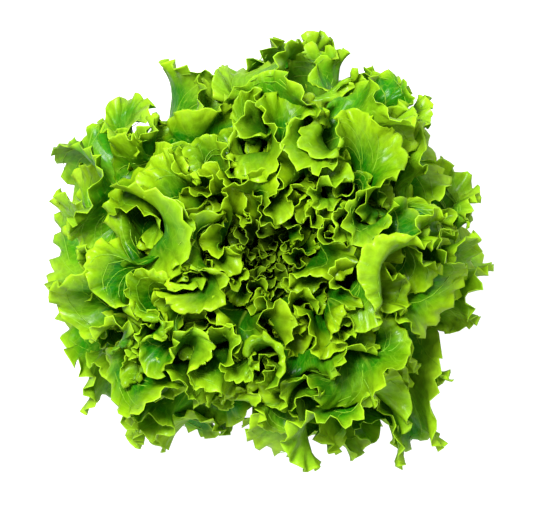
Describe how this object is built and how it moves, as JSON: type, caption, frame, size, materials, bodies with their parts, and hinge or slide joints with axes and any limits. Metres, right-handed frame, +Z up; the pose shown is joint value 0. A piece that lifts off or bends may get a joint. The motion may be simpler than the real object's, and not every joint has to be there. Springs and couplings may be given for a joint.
{
  "type": "head of lettuce",
  "caption": "Head of frilly green loose-leaf lettuce: ruffled leaves nested in a spiral round a short stem, standing on its cut face.",
  "frame": {"origin": "centre of the stem's cut face, which the head stands on", "axes": "+Z up along the stem, from the cut face to the heart; -Y towards the lower edge of the picture, +X to its right"},
  "size_m": [0.2473, 0.2523, 0.1538],
  "materials": {
    "outer_blade": "mid green leaf, softly glossy and puckered, pale at the rib",
    "middle_blade": "bright green leaf, softly glossy, yellow-green at the frilled margin",
    "inner_blade": "yellow-green leaf, softly glossy, tightly frilled",
    "heart_blade": "pale yellow-green young leaf, softly glossy",
    "stem_flesh": "pale green-white flesh, cut face slightly browned"
  },
  "bodies": {
    "root": {"stem": "stem_flesh", "outer_leaf_01": "outer_blade", "outer_leaf_02": "outer_blade", "outer_leaf_03": "outer_blade", "outer_leaf_04": "outer_blade", "outer_leaf_05": "outer_blade", "outer_leaf_06": "outer_blade", "outer_leaf_07": "outer_blade", "outer_leaf_08": "outer_blade", "outer_leaf_09": "outer_blade", "outer_leaf_10": "outer_blade", "outer_leaf_11": "outer_blade", "outer_leaf_12": "outer_blade", "outer_leaf_13": "outer_blade", "outer_leaf_14": "outer_blade", "middle_leaf_01": "middle_blade", "middle_leaf_02": "middle_blade", "middle_leaf_03": "middle_blade", "middle_leaf_04": "middle_blade", "middle_leaf_05": "middle_blade", "middle_leaf_06": "middle_blade", "middle_leaf_07": "middle_blade", "middle_leaf_08": "middle_blade", "middle_leaf_09": "middle_blade", "middle_leaf_10": "middle_blade", "middle_leaf_11": "middle_blade", "middle_leaf_12": "middle_blade", "middle_leaf_13": "middle_blade", "inner_leaf_01": "inner_blade", "inner_leaf_02": "inner_blade", "inner_leaf_03": "inner_blade", "inner_leaf_04": "inner_blade", "inner_leaf_05": "inner_blade", "inner_leaf_06": "inner_blade", "inner_leaf_07": "inner_blade", "inner_leaf_08": "inner_blade", "inner_leaf_09": "inner_blade", "inner_leaf_10": "inner_blade", "heart_leaf_01": "heart_blade", "heart_leaf_02": "heart_blade", "heart_leaf_03": "heart_blade", "heart_leaf_04": "heart_blade", "heart_leaf_05": "heart_blade"}
  },
  "joints": []
}
